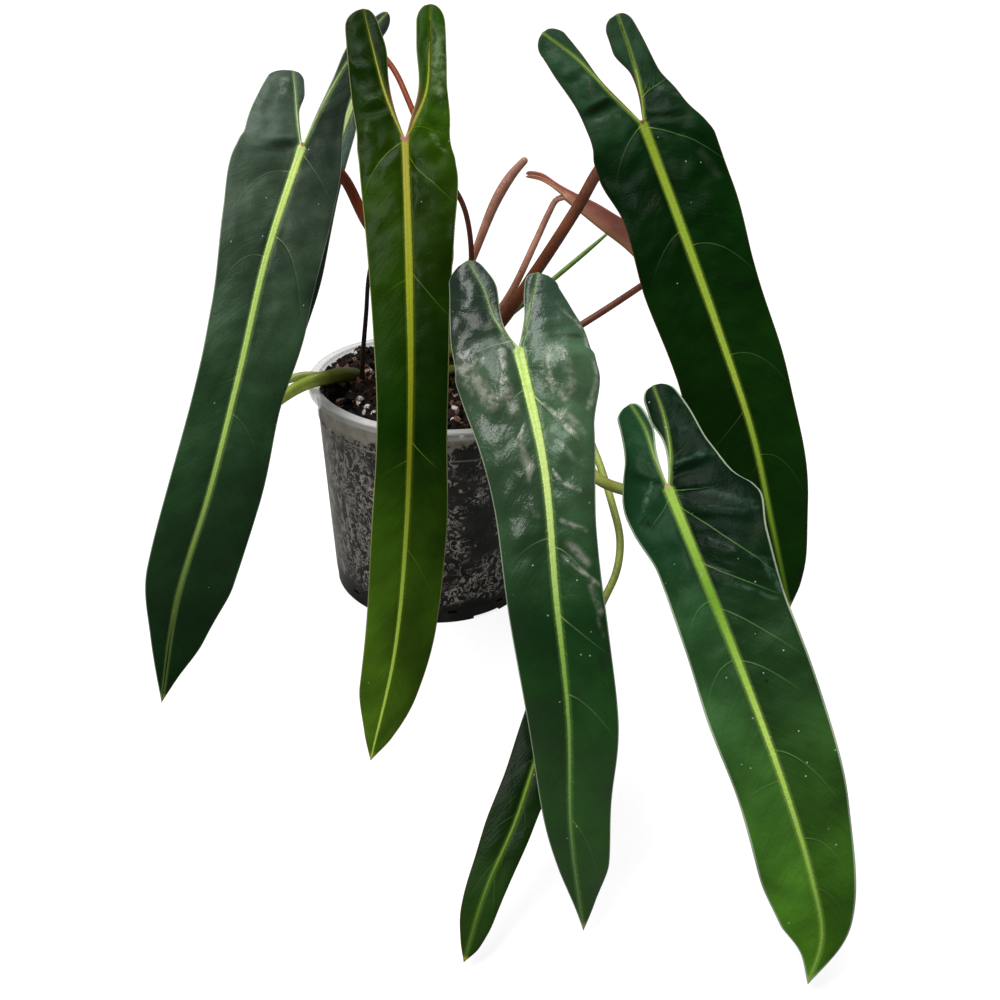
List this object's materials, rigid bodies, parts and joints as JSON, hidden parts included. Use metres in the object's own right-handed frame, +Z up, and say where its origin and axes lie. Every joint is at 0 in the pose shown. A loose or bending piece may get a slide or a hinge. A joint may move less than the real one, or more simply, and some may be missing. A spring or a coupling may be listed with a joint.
{
  "type": "potted philodendron spiritus-sancti",
  "caption": "Aroid house plant with long hanging arrow-shaped leaves on slender petioles, rooted in bark mix in a clear plastic nursery pot.",
  "frame": {"origin": "centre of the pot's underside", "axes": "+Z up along the pot's axis; the leaves hang out towards -Y, and +X is to the right seen from there"},
  "size_m": [0.3858, 0.4234, 0.3765],
  "materials": {
    "pot_plastic": "thin translucent polypropylene, smoke grey, satin, water-marked inside",
    "bark": "damp chunky orchid bark and coir with white perlite",
    "stem_green": "green plant stem, glossy skin, faint rings",
    "petiole_red": "red-brown leaf stalk, satin",
    "petiole_green": "olive green leaf stalk, satin",
    "leaf_dark": "dark blue-green leaf blade, leathery, semi-gloss, pale lime midrib",
    "leaf_bright": "yellower green leaf blade, leathery, semi-gloss",
    "leaf_young": "young maroon leaf blade, still folded"
  },
  "bodies": {
    "root": {"pot": "pot_plastic", "bark_mix": "bark", "stem": "stem_green", "side_shoot": "stem_green", "aerial_root": "stem_green", "old_petiole": "petiole_red", "leaf_a": "leaf_dark", "petiole_a": "petiole_red", "leaf_b": "leaf_bright", "petiole_b": "petiole_red", "leaf_c": "leaf_dark", "petiole_c": "petiole_red", "leaf_d": "leaf_dark", "petiole_d": "petiole_red", "leaf_e": "leaf_dark", "petiole_e": "petiole_green", "leaf_f": "leaf_dark", "petiole_f": "petiole_red", "leaf_g": "leaf_dark", "petiole_g": "petiole_green", "leaf_h": "leaf_young", "petiole_h": "petiole_red", "leaf_i": "leaf_dark", "petiole_i": "petiole_red", "spear_red": "petiole_red", "spear_green": "petiole_green"}
  },
  "joints": []
}
